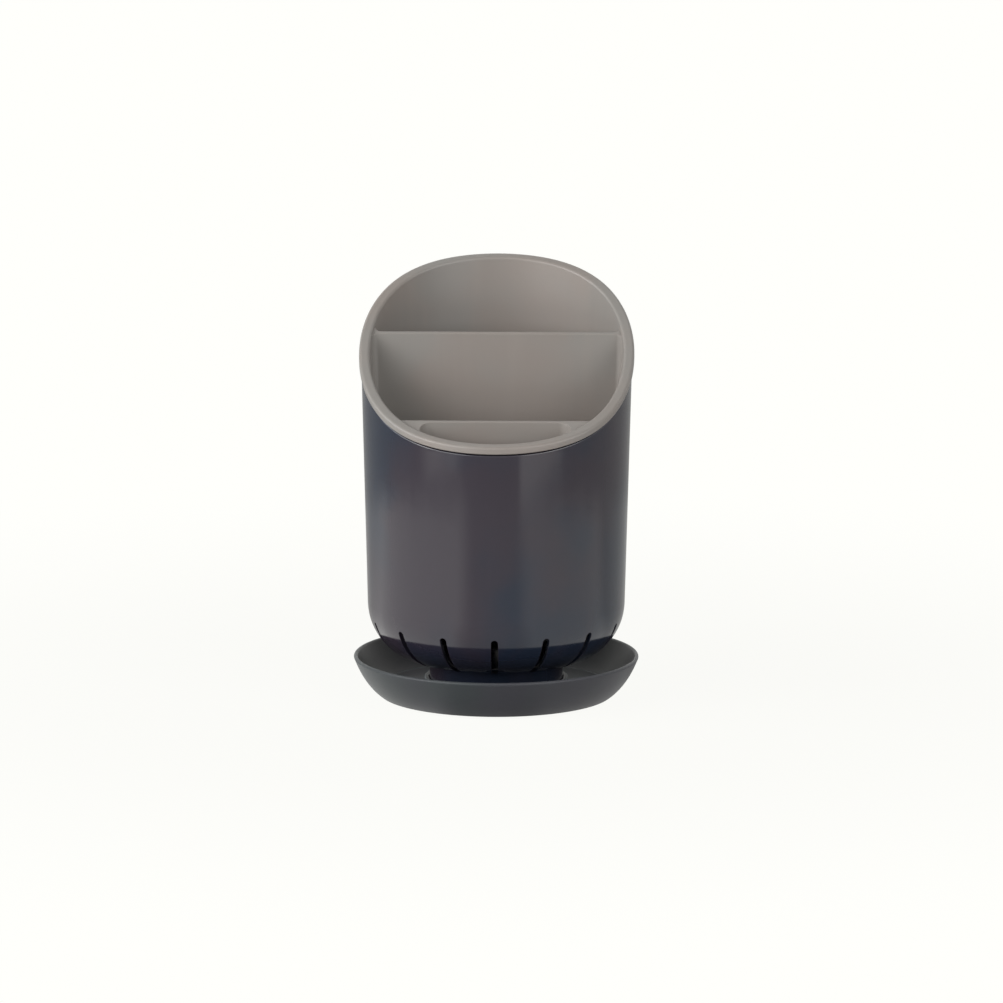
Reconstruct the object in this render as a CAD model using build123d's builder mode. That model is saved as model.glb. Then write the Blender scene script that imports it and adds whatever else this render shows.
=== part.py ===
from build123d import *
import math
import os

# Counter-top cutlery drainer in millimetres.
# The origin is on the table under the middle of the tray, the low side of the mouth faces -Y.

# Whole object
overall_height = 185.0
tray_diameter = 124.0

# Slanting mouth, taken on the top face of the insert's rim
mouth_front_height = 120.3
mouth_front_slope = 12.0
mouth_back_slope = 14.5
mouth_run_out = 1.0
rim_height = 3.3
rim_overhang = 0.9
rim_edge_radius = 1.2
rim_lower_edge_radius = 0.5
rim_seat_gap = 0.8

# Drainer body
body_lower_radius = 55.9
body_wall = 1.8
wall_draft = 1.5
shoulder_radius = 26.0
body_edge_radius = 0.5
foot_ring_radius = 29.0
foot_ring_wall = 2.2
foot_ring_height = 10.6

# Drain slots through the shoulder of the body
drain_slot_count = 15
drain_slot_width = 3.0
drain_slot_drop = 6.8
drain_slot_inner_radius = 31.5

# Cutlery insert
insert_gap = 0.4
insert_wall = 1.6
insert_floor_thickness = 1.8
insert_floor_lift = 20.0
insert_corner_radius = 6.5
divider_thickness = 1.2
divider_drop = 2.0
front_compartment_depth = 16.2
rear_compartment_depth = 39.5
front_corner_radius = 5.0
divider_corner_radius = 2.5
compartment_floor_radius = 2.0

# Drain slits through the floor of the insert
slit_width = 3.0
slit_spacing = 9.0
slit_land = 0.5

# Drip tray
tray_rim_height = 18.0
tray_base_inset = 11.5
tray_side_belly_inset = 4.2
tray_side_belly_rise = 5.0
tray_wall = 1.8
tray_rim_land = 0.1
tray_floor_thickness = 2.4
tray_recess_depth = 0.6
tray_base_ring_width = 6.5
tray_base_edge_radius = 0.5
seat_rib_count = 6
seat_rib_height = 1.6
seat_rib_width = 2.4
seat_rib_inner_radius = 14.0
locating_ring_clearance = 0.35
locating_ring_wall = 1.8
locating_ring_height = 4.4
locating_ring_notch = 9.0

# Rubber feet pressed into the underside of the tray
foot_radius = 6.0
foot_proud = 0.8
foot_pocket_depth = 1.0
foot_pocket_clearance = 0.1
foot_ring_gap = 3.0
foot_first_angle = 45.0
foot_edge_radius = 0.4
foot_names = ["foot_back_right", "foot_back_left", "foot_front_left", "foot_front_right"]

# Levels and centres that follow from the sizes above
tray_radius = tray_diameter / 2
tray_recess_level = foot_proud + tray_recess_depth
tray_floor_level = tray_recess_level + tray_floor_thickness
seat_level = tray_floor_level + seat_rib_height
body_underside = seat_level + foot_ring_height
shoulder_centre_height = body_underside + shoulder_radius
shoulder_centre_radius = body_lower_radius - shoulder_radius
liner_inset = body_wall + insert_gap
bore_inset = liner_inset + insert_wall
liner_depth = shoulder_radius - insert_floor_lift
bore_depth = liner_depth - insert_floor_thickness
mid_wall_inset = liner_inset + insert_wall / 2
mid_floor_depth = liner_depth - insert_floor_thickness / 2
beyond = overall_height + tray_diameter
near = 0.01


def wall_radius(inset, level):
    """Radius at a level of the sloping wall that lies inset inside the body's outer face."""
    draft = math.radians(wall_draft)
    at_centre_level = shoulder_centre_radius + (shoulder_radius - inset) / math.cos(draft)
    return at_centre_level + (level - shoulder_centre_height) * math.tan(draft)


def cup_space(inset, depth):
    """Round cup-shaped solid, inset inside the body's outer face.

    Its flat floor lies depth below the centre of the shoulder's arc.
    """
    radius = shoulder_radius - inset
    dip = math.degrees(math.asin(depth / radius))
    with BuildPart() as space:
        with BuildSketch(Plane.XZ):
            with BuildLine():
                shoulder = CenterArc(
                    (shoulder_centre_radius, shoulder_centre_height), radius, -dip, dip - wall_draft
                )
                wall = Line(shoulder @ 1, (wall_radius(inset, beyond), beyond))
                Polyline(wall @ 1, (0, beyond), (0, shoulder_centre_height - depth), shoulder @ 0)
            make_face()
        revolve(axis=Axis.Z)
    return space.part


# Mouth curve seen from the side: one cubic that runs out just past the front and back of the rim.
# The rounded edge takes a little off the highest point, so the curve ends higher by as much.
front_rise = math.tan(math.radians(mouth_front_slope))
back_rise = math.tan(math.radians(mouth_back_slope))
rounding_loss = rim_edge_radius * (math.hypot(1, back_rise) + back_rise - 1)
mouth_front = -wall_radius(-rim_overhang, mouth_front_height) - mouth_run_out
mouth_back = wall_radius(-rim_overhang, overall_height) + mouth_run_out
mouth_low = mouth_front_height - mouth_run_out * front_rise
mouth_high = overall_height + rounding_loss + mouth_run_out * back_rise
mouth_third = (mouth_back - mouth_front) / 3
mouth_control = [
    (mouth_front, mouth_low),
    (mouth_front + mouth_third, mouth_low + mouth_third * front_rise),
    (mouth_back - mouth_third, mouth_high - mouth_third * back_rise),
    (mouth_back, mouth_high),
]


def above_mouth(drop):
    """Everything above the mouth curve lowered by drop."""
    curve = [(place, height - drop) for place, height in mouth_control]
    front_end = (curve[0][0] - beyond, curve[0][1] - beyond * front_rise)
    back_end = (curve[-1][0] + beyond, curve[-1][1] + beyond * back_rise)
    with BuildPart() as space:
        with BuildSketch(Plane.YZ.offset(-beyond)):
            with BuildLine():
                Line(front_end, curve[0])
                Bezier(*curve)
                Line(curve[-1], back_end)
                Polyline(back_end, (back_end[0], 2 * beyond), (front_end[0], 2 * beyond), front_end)
            make_face()
        extrude(amount=2 * beyond)
    return space.part


# Drip tray: saucer with a base ring, radial seat ribs and a notched locating ring
# The rounded rim takes a little off the width, so its unrounded edge lies further out by as much.
base_radius = tray_radius - tray_base_inset
recess_radius = base_radius - tray_base_ring_width
foot_circle_radius = recess_radius - foot_ring_gap - foot_radius
belly = (tray_radius - tray_side_belly_inset, foot_proud + tray_side_belly_rise)
tray_rim_radius = tray_wall / 2 - tray_rim_land / 2
side_lean = tray_side_belly_inset / (tray_rim_height - belly[1])
tray_edge = tray_radius + tray_rim_radius * (math.hypot(1, side_lean) + side_lean - 1)
with BuildPart() as drip_tray:
    with BuildSketch(Plane.XZ):
        with BuildLine():
            outside = Bezier((base_radius, foot_proud), belly, (tray_edge, tray_rim_height))
            inside = Bezier(
                (base_radius, tray_floor_level),
                (belly[0] - tray_wall, belly[1] + tray_wall),
                (tray_edge - tray_wall, tray_rim_height),
            )
            Line(outside @ 1, inside @ 1)
            Polyline(inside @ 0, (0, tray_floor_level), (0, foot_proud), outside @ 0)
        make_face()
    revolve(axis=Axis.Z)
    fillet(drip_tray.edges().group_by(Axis.Z)[-1], tray_rim_radius)
    fillet(drip_tray.edges().group_by(Axis.Z)[0], tray_base_edge_radius)

    # Recess inside the base ring
    with BuildSketch(Plane.XY.offset(foot_proud)):
        Circle(recess_radius)
    extrude(amount=tray_recess_depth, mode=Mode.SUBTRACT)

    # Pockets for the rubber feet
    with BuildSketch(Plane.XY.offset(tray_recess_level)):
        with PolarLocations(foot_circle_radius, len(foot_names), start_angle=foot_first_angle):
            Circle(foot_radius + foot_pocket_clearance)
    extrude(amount=foot_pocket_depth, mode=Mode.SUBTRACT)

    # Locating ring around the foot ring of the body, open between the ribs to let water out
    ring_inner_radius = foot_ring_radius + locating_ring_clearance
    ring_outer_radius = ring_inner_radius + locating_ring_wall
    notch_depth = 2 * locating_ring_wall
    with BuildSketch(Plane.XY.offset(tray_floor_level)):
        Circle(ring_outer_radius)
        Circle(ring_inner_radius, mode=Mode.SUBTRACT)
        with PolarLocations(ring_outer_radius, seat_rib_count, start_angle=180 / seat_rib_count):
            Rectangle(2 * notch_depth, locating_ring_notch, mode=Mode.SUBTRACT)
    extrude(amount=locating_ring_height)

    # Radial ribs that carry the foot ring of the body
    rib_length = ring_inner_radius + locating_ring_wall / 2 - seat_rib_inner_radius
    with BuildSketch(Plane.XY.offset(tray_floor_level)):
        with PolarLocations(seat_rib_inner_radius + rib_length / 2, seat_rib_count):
            Rectangle(rib_length, seat_rib_width)
    extrude(amount=seat_rib_height)

# Drainer body: tapered cup with the slanting mouth, foot ring and radial drain slots
with BuildPart() as slot_cutter:
    slot_top = shoulder_centre_height - drain_slot_drop
    with BuildSketch(Plane.XZ.offset(drain_slot_inner_radius)):
        with Locations((0, slot_top - drain_slot_width / 2)):
            Circle(drain_slot_width / 2)
        with Locations((0, (body_underside + slot_top - drain_slot_width) / 2)):
            Rectangle(drain_slot_width, slot_top - body_underside)
    extrude(amount=body_lower_radius)

with BuildPart() as drainer_body:
    add(cup_space(0, shoulder_radius))
    add(cup_space(body_wall, shoulder_radius - body_wall), mode=Mode.SUBTRACT)
    add(above_mouth(rim_height + rim_seat_gap), mode=Mode.SUBTRACT)
    mouth_edges = drainer_body.faces().sort_by(Axis.Z)[-1].edges()
    fillet(mouth_edges, body_edge_radius)

    # Foot ring that stands on the seat ribs of the tray
    with BuildSketch(Plane.XY.offset(seat_level)):
        Circle(foot_ring_radius)
        Circle(foot_ring_radius - foot_ring_wall, mode=Mode.SUBTRACT)
    extrude(amount=foot_ring_height + body_wall / 2)

    with PolarLocations(0, drain_slot_count):
        add(slot_cutter.part, mode=Mode.SUBTRACT)

# Cutlery insert: liner with two dividers, an overhanging rim and slits in its floor
bore_radius = wall_radius(bore_inset, shoulder_centre_height)
divider_half = divider_thickness / 2
front_divider_place = front_compartment_depth + divider_half - bore_radius
rear_divider_place = bore_radius - rear_compartment_depth - divider_half
corner_groups = [
    (-beyond, front_divider_place, front_corner_radius),
    (front_divider_place, beyond, divider_corner_radius),
]
compartments = [
    (-beyond, front_divider_place - divider_half),
    (front_divider_place + divider_half, rear_divider_place - divider_half),
    (rear_divider_place + divider_half, beyond),
]
insert_underside = shoulder_centre_height - liner_depth
insert_floor_level = shoulder_centre_height - bore_depth
liner_radius = shoulder_radius - liner_inset
liner_floor_radius = shoulder_centre_radius + math.sqrt(liner_radius**2 - liner_depth**2)


def slits(front, back):
    """Places and lengths of the slits that fit the flat floor between two places along Y."""
    land = compartment_floor_radius + slit_land
    reach = liner_floor_radius - insert_wall - land
    found = []
    steps = math.floor((reach - slit_width / 2) / slit_spacing)
    for step in range(-steps, steps + 1):
        half_chord = math.sqrt(reach**2 - (abs(step) * slit_spacing + slit_width / 2) ** 2)
        low = max(front + land, -half_chord)
        high = min(back - land, half_chord)
        if high - low > slit_width:
            found.append((step * slit_spacing, (low + high) / 2, high - low))
    return found


with BuildPart() as dividers:
    add(cup_space(mid_wall_inset, mid_floor_depth))
    with BuildSketch(Plane.XY):
        with Locations((0, front_divider_place), (0, rear_divider_place)):
            Rectangle(2 * beyond, divider_thickness)
    extrude(amount=2 * beyond, mode=Mode.INTERSECT)
    add(above_mouth(divider_drop), mode=Mode.SUBTRACT)

with BuildPart() as rim:
    add(cup_space(-rim_overhang, 0))
    add(above_mouth(rim_height), mode=Mode.INTERSECT)
    fillet(rim.faces().sort_by(Axis.Z)[0].edges(), rim_lower_edge_radius)
    add(cup_space(mid_wall_inset, mid_floor_depth), mode=Mode.SUBTRACT)

with BuildPart() as cutlery_insert:
    add(cup_space(liner_inset, liner_depth))
    fillet(cutlery_insert.faces().sort_by(Axis.Z)[0].edges(), insert_corner_radius)
    add(cup_space(bore_inset, bore_depth), mode=Mode.SUBTRACT)
    add(dividers.part)

    # Rounded corners where the flat dividers meet the conical liner, then round the floor
    for front, back, corner_radius in corner_groups:
        corners = cutlery_insert.edges().filter_by(GeomType.HYPERBOLA)
        fillet(corners.filter_by_position(Axis.Y, front, back), corner_radius)
    floors = cutlery_insert.faces().filter_by_position(
        Axis.Z, insert_floor_level - near, insert_floor_level + near
    )
    fillet(floors.edges(), compartment_floor_radius)

    # Rim, cut to the mouth and rounded along its top
    add(rim.part)
    add(above_mouth(0), mode=Mode.SUBTRACT)
    rim_top = cutlery_insert.faces().filter_by(GeomType.EXTRUSION).sort_by(SortBy.AREA)[-1]
    fillet(rim_top.edges(), rim_edge_radius)

    # Slits that drain each compartment
    with BuildSketch(Plane.XY.offset(insert_underside)):
        for front, back in compartments:
            for across, along, length in slits(front, back):
                with Locations((across, along)):
                    SlotOverall(length, slit_width, rotation=90)
    extrude(amount=insert_floor_thickness, mode=Mode.SUBTRACT)

# Four rubber feet, named by the corner of the tray that they carry
foot_ring = PolarLocations(foot_circle_radius, len(foot_names), start_angle=foot_first_angle)


def rubber_foot(place):
    """Round pad from the table up to the ceiling of its pocket."""
    with BuildPart() as foot:
        with BuildSketch(Plane.XY):
            with Locations((place.position.X, place.position.Y)):
                Circle(foot_radius)
        extrude(amount=tray_recess_level + foot_pocket_depth)
        fillet(foot.edges().group_by(Axis.Z)[0], foot_edge_radius)
    return foot


os.makedirs("parts", exist_ok=True)
drip_tray.part.label = "drip_tray"
export_step(drip_tray.part, "parts/drip_tray.step")
drainer_body.part.label = "drainer_body"
export_step(drainer_body.part, "parts/drainer_body.step")
cutlery_insert.part.label = "cutlery_insert"
export_step(cutlery_insert.part, "parts/cutlery_insert.step")
for foot_name, foot_place in zip(foot_names, foot_ring.local_locations):
    foot = rubber_foot(foot_place)
    foot.part.label = foot_name
    export_step(foot.part, f"parts/{foot_name}.step")
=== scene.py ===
import math

import bpy
from bpy.props import FloatProperty, FloatVectorProperty, PointerProperty
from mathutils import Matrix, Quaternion, Vector

bl_info = {
    "name": "Cutlery drainer",
    "version": (1, 0, 0),
    "blender": (4, 5, 0),
    "location": "3D View > Sidebar > Drainer",
    "description": "Finishes for a cutlery drainer with a lift-out insert and a drip tray",
    "category": "Object",
}

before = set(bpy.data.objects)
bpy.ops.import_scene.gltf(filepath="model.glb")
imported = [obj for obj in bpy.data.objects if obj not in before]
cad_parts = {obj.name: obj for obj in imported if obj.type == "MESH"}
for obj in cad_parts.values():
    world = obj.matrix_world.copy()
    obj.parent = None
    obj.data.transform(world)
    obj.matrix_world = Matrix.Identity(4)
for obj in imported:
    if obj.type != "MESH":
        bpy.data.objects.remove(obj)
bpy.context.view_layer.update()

FEET = ("foot_back_right", "foot_back_left", "foot_front_left", "foot_front_right")

# Camera: the image in pixels, the sensor in millimetres, and the depth in its own distances
IMAGE_WIDTH = 1003
SENSOR_WIDTH = 36.0
VIEW_DEPTH = 4

# Marks in the plastic. Spots are to the metre, and a span is where a mark starts and is full.
CLOUD_SPOTS = 14.0
CLOUD_SPAN = (0.4, 0.6)
FLOW_SPOTS = (90.0, 90.0, 9.0)
FLOW_SPAN = (0.45, 0.75)
FLOW_SHARE = 0.35
FLOW_LIGHT = 0.1
HAND_MARK_SPOTS = 55.0
EDGE_SAMPLES = 6
EDGE_SPAN = (0.004, 0.08)
EDGE_ROUGHNESS = 0.08

# Lamps, each with its name, its place and the setting that holds its power
LAMPS = (
    ("key_lamp", (-1.53, -1.53, 0.95), "key_power"),
    ("side_lamp", (-2.1, -0.56, 0.95), "side_power"),
    ("fill_lamp", (1.53, -1.53, 0.95), "fill_power"),
)
LAMP_SIZE = (1.8, 1.5)
LAMP_TARGET = (0.0, 0.0, 0.1)

# Floor and background. The floor shows its own white in a share that is full away from the drainer.
WHITE = (1.0, 1.0, 0.97, 1.0)
BLACK = (0.0, 0.0, 0.0, 1.0)
PAPER = (0.8, 0.8, 0.79, 1.0)
SHADOW_REACH = (0.12, 0.5)
WHITE_NEAR = 0.94
WHITE_FAR = 1.0

# Floor as the gloss mirrors it, a painted reflection: pools of light and two bright panes are painted
# into the floor's brightness, where no lamp stands. A reach is a distance from the drainer. A side
# runs from -1 at the left to 1 at the right, and a back from -1 in front to 1 behind. Each pair is
# where a painted bright place starts and is full.
GLOSS_FLOOR = 0.38
FRONT_BACK = (0.3, 0.0)
NEAR_REACH = (0.48, 0.41)
NEAR_LIGHT = 0.1
WOBBLE_SPOTS = 9.0
WOBBLE_SIZE = 0.1
LEFT_SIDE = (-0.28, -0.62)
LEFT_BACK = (0.8, 0.2)
LEFT_LIGHT = 0.66
RIGHT_SIDE = (0.25, 0.5)
RIGHT_LIGHT = 0.28
LEFT_PANE_OUTER = (-0.94, -0.8)
LEFT_PANE_INNER = (-0.42, -0.65)
LEFT_PANE_REACH = (0.49, 0.53)
LEFT_PANE_LIGHT = 0.85
RIGHT_PANE_INNER = (0.3, 0.42)
RIGHT_PANE_OUTER = (0.88, 0.76)
RIGHT_PANE_REACH = (0.35, 0.38)
RIGHT_PANE_SLANT = 0.2
RIGHT_PANE_LIGHT = 0.95


# Shader expressions

class Wire:
    """A shader socket that takes part in Python expressions."""

    def __init__(self, graph, socket):
        self.graph = graph
        self.socket = socket

    def math(self, operation, first, second):
        node = self.graph.add("ShaderNodeMath", {"operation": operation}, {0: first, 1: second})
        return node.out("Value")

    def __add__(self, other):
        return self.math("ADD", self, other)

    def __radd__(self, other):
        return self.math("ADD", other, self)

    def __sub__(self, other):
        return self.math("SUBTRACT", self, other)

    def __rsub__(self, other):
        return self.math("SUBTRACT", other, self)

    def __mul__(self, other):
        return self.math("MULTIPLY", self, other)

    def __rmul__(self, other):
        return self.math("MULTIPLY", other, self)

    def __truediv__(self, other):
        return self.math("DIVIDE", self, other)

    def __rtruediv__(self, other):
        return self.math("DIVIDE", other, self)

    def maximum(self, other):
        return self.math("MAXIMUM", self, other)

    def ramp(self, span):
        """0 at the first end of the span and 1 at the second, smooth in between."""
        start, full = span
        node = self.graph.add(
            "ShaderNodeMapRange",
            {"interpolation_type": "SMOOTHSTEP"},
            {"Value": self, "From Min": start, "From Max": full},
        )
        return node.out("Result")


class Added:
    """A node that has been added, with its outputs as wires."""

    def __init__(self, graph, node):
        self.graph = graph
        self.node = node

    def out(self, name):
        return Wire(self.graph, self.node.outputs[name])


class Graph:
    """The nodes of one material or of the world."""

    def __init__(self, owner):
        owner.use_nodes = True
        self.tree = owner.node_tree
        self.tree.nodes.clear()

    def add(self, kind, settings=None, sockets=None):
        node = self.tree.nodes.new(kind)
        for name, value in (settings or {}).items():
            setattr(node, name, value)
        for name, value in (sockets or {}).items():
            if isinstance(value, Wire):
                self.tree.links.new(value.socket, node.inputs[name])
            else:
                node.inputs[name].default_value = value
        return Added(self, node)

    def place(self):
        return self.add("ShaderNodeTexCoord").out("Object")

    def stretched(self, place, scale):
        node = self.add("ShaderNodeMapping", None, {"Vector": place, "Scale": scale})
        return node.out("Vector")

    def distance(self, place):
        node = self.add("ShaderNodeVectorMath", {"operation": "LENGTH"}, {0: place})
        return node.out("Value")

    def noise(self, place, spots, detail=2.0):
        """Even noise from 0 to 1 with a number of spots to the metre."""
        node = self.add(
            "ShaderNodeTexNoise",
            {"noise_dimensions": "3D"},
            {"Vector": place, "Scale": spots, "Detail": detail},
        )
        return node.out("Fac")

    def mix(self, factor, first, second):
        """Colour between first and second."""
        node = self.add(
            "ShaderNodeMix",
            {"data_type": "RGBA"},
            {"Factor": factor, 6: rgba(first), 7: rgba(second)},
        )
        return node.out(2)

    def mix_shaders(self, factor, first, second):
        node = self.add("ShaderNodeMixShader", None, {"Fac": factor, 1: first, 2: second})
        return node.out("Shader")

    def emission(self, colour, strength):
        node = self.add("ShaderNodeEmission", None, {"Color": colour, "Strength": strength})
        return node.out("Emission")

    def background(self, colour, strength):
        node = self.add("ShaderNodeBackground", None, {"Color": colour, "Strength": strength})
        return node.out("Background")

    def rays(self):
        """Rays that come off gloss or through glass, and these with the camera's own."""
        path = self.add("ShaderNodeLightPath")
        mirrored = path.out("Is Glossy Ray").maximum(path.out("Is Transmission Ray"))
        return mirrored, path.out("Is Camera Ray").maximum(mirrored)


def rgba(colour):
    """A colour with full alpha, or the wire that it already is."""
    if isinstance(colour, Wire):
        return colour
    return (colour[0], colour[1], colour[2], 1.0)


def lighter(colour, amount):
    return tuple(channel * (1 + amount) for channel in colour[:3])


def moulded_plastic(name, finish):
    """Moulded plastic with fine grain, peel, flow marks, handling marks and a painted highlight on
    the edges.
    """
    material = bpy.data.materials.new(name)
    graph = Graph(material)
    place = graph.place()

    bevel = graph.add(
        "ShaderNodeBevel", {"samples": EDGE_SAMPLES}, {"Radius": finish.edge_radius},
    )
    rounded = bevel.out("Normal")
    flat = graph.add("ShaderNodeNewGeometry").out("Normal")
    facing = graph.add("ShaderNodeVectorMath", {"operation": "DOT_PRODUCT"}, {0: rounded, 1: flat})
    edge = (1 - facing.out("Value")).ramp(EDGE_SPAN)

    cloud = graph.noise(place, CLOUD_SPOTS, detail=3.0)
    flow = graph.noise(graph.stretched(place, FLOW_SPOTS), 1.0, detail=3.0)
    marks = graph.noise(place, HAND_MARK_SPOTS, detail=4.0)
    grain = graph.noise(place, 1 / finish.grain_size)
    waves = graph.noise(place, 1 / finish.peel_size)

    shade = graph.mix(cloud.ramp(CLOUD_SPAN), finish.colour, finish.tint)
    light_flow = lighter(finish.colour, FLOW_LIGHT)
    shade = graph.mix(flow.ramp(FLOW_SPAN) * FLOW_SHARE, shade, light_flow)
    # Painted highlight: the edges are painted lighter than the plastic, by the edge highlight
    # setting.
    shade = graph.mix(edge, shade, lighter(finish.colour, finish.edge_light))

    uneven = (marks - 0.5) * finish.smudge + (grain - 0.5) * (finish.smudge / 2)
    rough = finish.roughness + uneven + edge * EDGE_ROUGHNESS
    height = grain * finish.grain_depth + waves * finish.peel_depth
    bump = graph.add(
        "ShaderNodeBump",
        None,
        {"Strength": 1.0, "Distance": 1.0, "Height": height, "Normal": rounded},
    ).out("Normal")
    surface = graph.add(
        "ShaderNodeBsdfPrincipled",
        None,
        {"Base Color": shade, "Roughness": rough, "Normal": bump, "IOR": finish.ior},
    )
    graph.add("ShaderNodeOutputMaterial", None, {"Surface": surface.out("BSDF")})
    return material


def dress(node, material):
    """Give a piece of the frame its material."""
    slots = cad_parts[node].data.materials
    slots.clear()
    slots.append(material)


# Settings

def colour_setting(name, description, default):
    return FloatVectorProperty(
        name=name, description=description, subtype="COLOR", size=3, min=0.0, max=1.0,
        default=default,
    )


def share_setting(name, description, default):
    return FloatProperty(
        name=name, description=description, subtype="FACTOR", min=0.0, max=1.0, default=default,
    )


def number_setting(name, description, default, low=0.0):
    return FloatProperty(name=name, description=description, min=low, default=default)


def length_setting(name, description, default, low=0.0):
    return FloatProperty(
        name=name, description=description, unit="LENGTH", min=low, precision=6, default=default,
    )


def power_setting(name, description, default):
    return FloatProperty(
        name=name, description=description, unit="POWER", min=0.0, default=default,
    )


def angle_setting(name, description, degrees):
    return FloatProperty(
        name=name, description=description, subtype="ANGLE", default=math.radians(degrees),
    )


def finish_settings(
    colour, tint, roughness, ior=1.45, grain_depth=8e-6, peel_size=0.006, peel_depth=3e-5,
    smudge=0.1, edge_radius=0.0004, edge_light=0.5,
):
    """The settings that every finish has, with the values of one finish as their defaults."""
    return {
        "colour": colour_setting("Colour", "Colour of the plastic", colour),
        "tint": colour_setting("Tint", "Colour that the plastic drifts to here and there", tint),
        "roughness": share_setting("Roughness", "0 is a mirror, 1 is chalk", roughness),
        "ior": number_setting("Refraction", "Index of refraction of the plastic", ior, 1.0),
        "grain_size": length_setting("Grain", "Size of the mould's fine grain", 0.0004, 0.0001),
        "grain_depth": length_setting("Grain depth", "Depth of the fine grain", grain_depth),
        "peel_size": length_setting("Peel", "Length of the surface's waves", peel_size, 0.001),
        "peel_depth": length_setting("Peel depth", "Depth of the surface's waves", peel_depth),
        "smudge": share_setting("Smudge", "How much handling changes the roughness", smudge),
        "edge_radius": length_setting("Edge", "Radius that softens sharp edges", edge_radius),
        # Painted highlight: how much lighter the edges are painted.
        "edge_light": number_setting("Edge light", "How much lighter the edges are", edge_light),
    }


class InsertFinish(bpy.types.PropertyGroup):
    """Satin warm grey plastic of the insert."""

    __annotations__ = finish_settings(
        colour=(0.330, 0.292, 0.266), tint=(0.318, 0.300, 0.280), roughness=0.32,
        grain_depth=5e-6, smudge=0.06, edge_light=0.06,
    )


class BodyFinish(bpy.types.PropertyGroup):
    """Glossy blue-black plastic of the body."""

    __annotations__ = finish_settings(
        colour=(0.036, 0.028, 0.041), tint=(0.018, 0.026, 0.046), roughness=0.12, ior=1.65,
        grain_depth=1e-6, peel_size=0.012, peel_depth=4e-5, smudge=0.05,
    )


class TrayFinish(bpy.types.PropertyGroup):
    """Satin charcoal plastic of the drip tray."""

    __annotations__ = finish_settings(
        colour=(0.045, 0.052, 0.056), tint=(0.050, 0.050, 0.060), roughness=0.40, ior=1.38,
        # Painted highlight: the tray's rim edges are painted much lighter.
        edge_radius=0.0008, edge_light=4.0,
    )


class FeetFinish(bpy.types.PropertyGroup):
    """Matt rubber of the feet."""

    __annotations__ = finish_settings(
        colour=(0.014, 0.014, 0.015), tint=(0.017, 0.017, 0.017), roughness=0.75,
        grain_depth=2e-5, peel_depth=1e-5, smudge=0.15, edge_light=0.3,
    )


class StudioSettings(bpy.types.PropertyGroup):
    """Camera, lamps and floor."""

    distance: length_setting("Distance", "From the camera to the drainer", 4.0)
    elevation: angle_setting("Elevation", "Height of the camera above the level", 10.9)
    azimuth: angle_setting("Azimuth", "Camera turned round the drainer", 0.76)
    roll: angle_setting("Roll", "Camera turned about its own line of sight", 0.1)
    scale: number_setting("Scale", "Pixels to the metre at the drainer", 2303.0)
    aim_height: length_setting("Aim height", "Height of the point the camera looks at", 0.0856)
    aim_side: length_setting("Aim side", "Sideways place of that point", 0.0022, -1.0)
    floor_size: length_setting("Floor", "Length of one side of the floor", 12.0)
    key_power: power_setting("Key", "Power of the lamp at the front left", 26.0)
    side_power: power_setting("Side", "Power of the lamp at the left", 27.0)
    fill_power: power_setting("Fill", "Power of the lamp at the front right", 21.5)
    room_light: number_setting("Room", "Strength of the even light from all round", 0.07)


class DrainerSettings(bpy.types.PropertyGroup):
    """All settings of the cutlery drainer."""

    insert: PointerProperty(type=InsertFinish, name="Insert", description="Finish of the insert")
    body: PointerProperty(type=BodyFinish, name="Body", description="Finish of the body")
    tray: PointerProperty(type=TrayFinish, name="Tray", description="Finish of the drip tray")
    feet: PointerProperty(type=FeetFinish, name="Feet", description="Finish of the feet")
    studio: PointerProperty(
        type=StudioSettings, name="Studio", description="Camera, lamps and floor",
    )


# Pieces

class DRAINER_OT_insert(bpy.types.Operator):
    """Give the lift-out insert its satin warm grey plastic"""

    bl_idname = "drainer.insert"
    bl_label = "Cutlery insert"

    def execute(self, context):
        dress("cutlery_insert", moulded_plastic("insert_satin", context.scene.drainer.insert))
        return {"FINISHED"}


class DRAINER_OT_body(bpy.types.Operator):
    """Give the slotted body its glossy blue-black plastic"""

    bl_idname = "drainer.body"
    bl_label = "Drainer body"

    def execute(self, context):
        dress("drainer_body", moulded_plastic("body_gloss", context.scene.drainer.body))
        return {"FINISHED"}


class DRAINER_OT_tray(bpy.types.Operator):
    """Give the drip tray its satin charcoal plastic"""

    bl_idname = "drainer.tray"
    bl_label = "Drip tray"

    def execute(self, context):
        dress("drip_tray", moulded_plastic("tray_satin", context.scene.drainer.tray))
        return {"FINISHED"}


class DRAINER_OT_feet(bpy.types.Operator):
    """Give the four feet their matt rubber"""

    bl_idname = "drainer.feet"
    bl_label = "Rubber feet"

    def execute(self, context):
        rubber = moulded_plastic("foot_rubber", context.scene.drainer.feet)
        for foot in FEET:
            dress(foot, rubber)
        return {"FINISHED"}


# Stage

def lamp(name, place, power):
    """Soft rectangular lamp that faces the drainer."""
    light = bpy.data.lights.new(name, "AREA")
    light.shape = "RECTANGLE"
    light.size, light.size_y = LAMP_SIZE
    light.energy = power
    holder = bpy.data.objects.new(name, light)
    holder.location = place
    sight = Vector(LAMP_TARGET) - Vector(place)
    holder.rotation_euler = sight.to_track_quat("-Z", "Y").to_euler()
    bpy.context.scene.collection.objects.link(holder)


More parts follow.
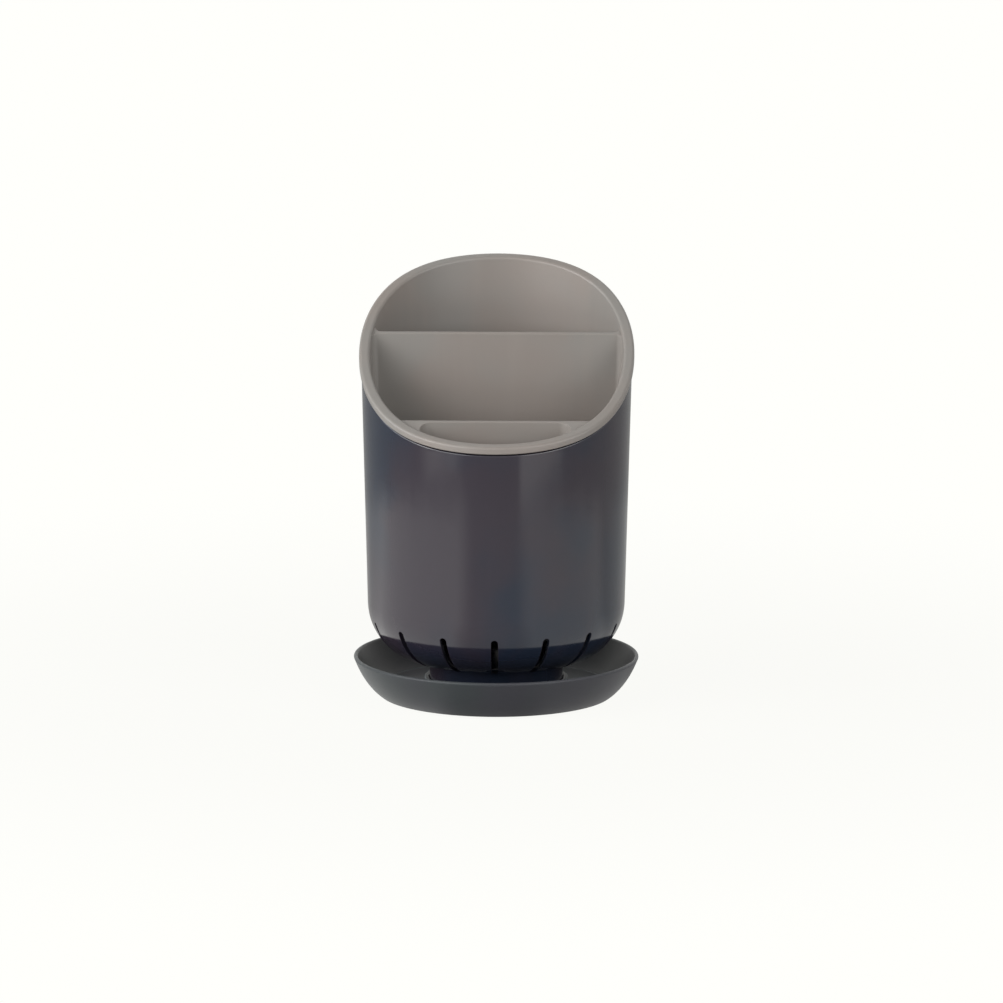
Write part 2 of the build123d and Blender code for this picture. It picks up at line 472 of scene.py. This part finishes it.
class DRAINER_OT_stage(bpy.types.Operator):
    """Build the floor, the lamps, the world and the camera"""

    bl_idname = "drainer.stage"
    bl_label = "Studio"

    def execute(self, context):
        studio = context.scene.drainer.studio
        self.floor(studio)
        self.world(studio)
        self.camera(studio)
        for name, place, power in LAMPS:
            lamp(name, place, getattr(studio, power))
        context.scene.view_settings.view_transform = "Standard"
        return {"FINISHED"}

    def floor(self, studio):
        """Pale paper that keeps the drainer's shadow, with its own white in the camera's eye and
        painted pools of light in the gloss.
        """
        half = studio.floor_size / 2
        mesh = bpy.data.meshes.new("floor")
        corners = [(-half, -half, 0), (half, -half, 0), (half, half, 0), (-half, half, 0)]
        mesh.from_pydata(corners, [], [(0, 1, 2, 3)])
        floor = bpy.data.objects.new("floor", mesh)
        bpy.context.scene.collection.objects.link(floor)

        material = bpy.data.materials.new("pale_floor")
        graph = Graph(material)
        place = graph.place()
        mirrored, seen = graph.rays()
        # Painted reflection: the gloss sees the floor's white dimmed outside the painted pools of
        # light and panes.
        dim = mirrored * (1 - self.painted_floor_reflection(graph, place))
        open_floor = graph.distance(place).ramp(SHADOW_REACH)
        share = WHITE_NEAR + open_floor * (WHITE_FAR - WHITE_NEAR)
        paper = graph.add("ShaderNodeBsdfDiffuse", None, {"Color": PAPER}).out("BSDF")
        shown = graph.mix_shaders(dim, graph.emission(WHITE, 1.0), graph.emission(BLACK, 0.0))
        both = graph.mix_shaders(seen * share, paper, shown)
        graph.add("ShaderNodeOutputMaterial", None, {"Surface": both})
        mesh.materials.append(material)

    def painted_floor_reflection(self, graph, place):
        """Painted reflection: brightness of the floor in the gloss, with painted pools of light near
        by and two painted bright panes far out.
        """
        axes = graph.add("ShaderNodeSeparateXYZ", None, {0: place})
        away = graph.distance(place)
        side = axes.out("X") / away
        back = axes.out("Y") / away
        front = back.ramp(FRONT_BACK)

        wobble = (graph.noise(place, WOBBLE_SPOTS, detail=3.0) - 0.5) * WOBBLE_SIZE
        left = side.ramp(LEFT_SIDE) * back.ramp(LEFT_BACK)
        right = side.ramp(RIGHT_SIDE) * front
        sides = NEAR_LIGHT + left * LEFT_LIGHT + right * RIGHT_LIGHT
        near = (away + wobble).ramp(NEAR_REACH) * sides

        # Painted bright panes far out, where no lamp stands.
        left_painted_pane = side.ramp(LEFT_PANE_OUTER) * side.ramp(LEFT_PANE_INNER)
        left_painted_pane = left_painted_pane * away.ramp(LEFT_PANE_REACH)
        right_painted_pane = side.ramp(RIGHT_PANE_INNER) * side.ramp(RIGHT_PANE_OUTER)
        right_painted_pane = right_painted_pane * (away - side * RIGHT_PANE_SLANT).ramp(RIGHT_PANE_REACH)
        far = (left_painted_pane * LEFT_PANE_LIGHT + right_painted_pane * RIGHT_PANE_LIGHT) * front
        return GLOSS_FLOOR + near.maximum(far)

    def world(self, studio):
        """Soft even light that the camera and the gloss see as white."""
        world = bpy.data.worlds.new("studio")
        bpy.context.scene.world = world
        graph = Graph(world)
        seen = graph.rays()[1]
        soft = graph.background(WHITE, studio.room_light)
        both = graph.mix_shaders(seen, soft, graph.background(WHITE, 1.0))
        graph.add("ShaderNodeOutputWorld", None, {"Surface": both})

    def camera(self, studio):
        """Long lens that shows the drainer at the studio's scale."""
        data = bpy.data.cameras.new("camera")
        data.sensor_fit = "HORIZONTAL"
        data.sensor_width = SENSOR_WIDTH
        data.lens = studio.scale * studio.distance * SENSOR_WIDTH / IMAGE_WIDTH
        data.clip_end = VIEW_DEPTH * studio.distance
        camera = bpy.data.objects.new("camera", data)
        level = math.cos(studio.elevation)
        away = Vector((
            level * math.sin(studio.azimuth),
            -level * math.cos(studio.azimuth),
            math.sin(studio.elevation),
        ))
        aim = Vector((studio.aim_side, 0.0, studio.aim_height))
        camera.location = aim + away * studio.distance
        turn = Quaternion((0.0, 0.0, 1.0), studio.roll)
        camera.rotation_euler = ((-away).to_track_quat("-Z", "Y") @ turn).to_euler()
        bpy.context.scene.collection.objects.link(camera)
        bpy.context.scene.camera = camera


# Panel and registration

PIECES = (DRAINER_OT_insert, DRAINER_OT_body, DRAINER_OT_tray, DRAINER_OT_feet, DRAINER_OT_stage)


class DRAINER_PT_panel(bpy.types.Panel):
    """Lists the pieces of the cutlery drainer"""

    bl_idname = "DRAINER_PT_panel"
    bl_label = "Cutlery drainer"
    bl_space_type = "VIEW_3D"
    bl_region_type = "UI"
    bl_category = "Drainer"

    def draw(self, context):
        for piece in PIECES:
            self.layout.operator(piece.bl_idname)


FINISHES = (InsertFinish, BodyFinish, TrayFinish, FeetFinish)
CLASSES = FINISHES + (StudioSettings, DrainerSettings) + PIECES + (DRAINER_PT_panel,)


def register():
    for item in CLASSES:
        bpy.utils.register_class(item)
    bpy.types.Scene.drainer = PointerProperty(type=DrainerSettings)


def unregister():
    del bpy.types.Scene.drainer
    for item in reversed(CLASSES):
        bpy.utils.unregister_class(item)


def main():
    register()
    bpy.ops.drainer.insert()
    bpy.ops.drainer.body()
    bpy.ops.drainer.tray()
    bpy.ops.drainer.feet()
    bpy.ops.drainer.stage()


if __name__ == "__main__":
    main()
